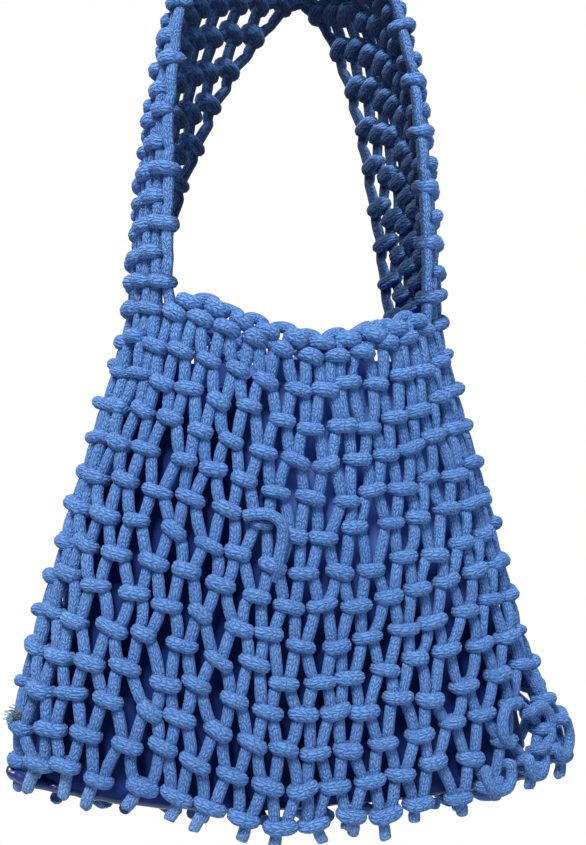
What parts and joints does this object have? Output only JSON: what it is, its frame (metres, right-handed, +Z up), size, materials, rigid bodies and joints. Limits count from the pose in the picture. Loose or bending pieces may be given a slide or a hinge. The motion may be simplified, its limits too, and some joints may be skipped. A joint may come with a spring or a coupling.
{
  "type": "knotted cord shoulder bag",
  "caption": "Soft shoulder bag of hand-knotted braided cotton cord, flared from a dipped knotted mouth to a wide base, with one wide net strap and a dark cloth liner.",
  "frame": {"origin": "underside of the strap at the middle of its top, where a hook or hand carries the bag", "axes": "+Z up, +X across the bag to the right seen from the front, +Y from the front to the back"},
  "size_m": [0.3155, 0.112, 0.501],
  "materials": {
    "net_cord": "soft braided cotton, mid blue",
    "strap_cord": "soft braided cotton, mid blue, handled",
    "cut_cord_ends": "cut cotton ends, slightly frayed and paler",
    "liner_cloth": "matte navy cloth",
    "liner_gloss": "glossy coated navy edge"
  },
  "bodies": {
    "strap": {"strap_back_edge_left": "strap_cord", "strap_back_edge_right": "strap_cord", "strap_back_edge_root_left": "strap_cord", "strap_back_edge_root_right": "strap_cord", "strap_back_edge_top": "strap_cord", "strap_front_edge_left": "strap_cord", "strap_front_edge_right": "strap_cord", "strap_front_edge_root_left": "strap_cord", "strap_front_edge_root_right": "strap_cord", "strap_front_edge_top": "strap_cord", "strap_left": "strap_cord", "strap_right": "strap_cord", "strap_root_left": "strap_cord", "strap_root_right": "strap_cord", "strap_top": "strap_cord"},
    "bag": {"liner_back": "liner_cloth", "liner_base_board": "liner_gloss", "liner_front": "liner_cloth", "liner_hem_back": "liner_cloth", "liner_hem_front": "liner_cloth", "liner_piping": "liner_gloss", "net_back": "net_cord", "net_base": "net_cord", "net_front": "net_cord", "net_left_side": "net_cord", "net_right_side": "net_cord", "rim_loops_back": "net_cord", "rim_loops_front": "net_cord", "rim_lower_wraps_back": "net_cord", "rim_lower_wraps_front": "net_cord", "rim_upper_wraps_back": "net_cord", "rim_upper_wraps_front": "net_cord", "tail_back_01": "cut_cord_ends", "tail_back_02": "cut_cord_ends", "tail_back_03": "cut_cord_ends", "tail_back_04": "cut_cord_ends", "tail_back_05": "cut_cord_ends", "tail_back_06": "cut_cord_ends", "tail_back_07": "cut_cord_ends", "tail_back_08": "cut_cord_ends", "tail_back_09": "cut_cord_ends", "tail_back_10": "cut_cord_ends", "tail_front_01": "cut_cord_ends", "tail_front_02": "cut_cord_ends", "tail_front_03": "cut_cord_ends", "tail_front_04": "cut_cord_ends", "tail_front_05": "cut_cord_ends", "tail_front_06": "cut_cord_ends", "tail_front_07": "cut_cord_ends", "tail_front_08": "cut_cord_ends", "tail_front_09": "cut_cord_ends", "tail_front_10": "cut_cord_ends"}
  },
  "joints": [
    {"name": "bag_swing", "type": "hinge", "parent": "strap", "child": "bag", "pos_m": [0, 0, -0.15], "axis": [1, 0, 0], "range_deg": [-70, 70], "deforming": ["strap_back_edge_root_left", "strap_back_edge_root_right", "strap_front_edge_root_left", "strap_front_edge_root_right", "strap_root_left", "strap_root_right"]}
  ]
}
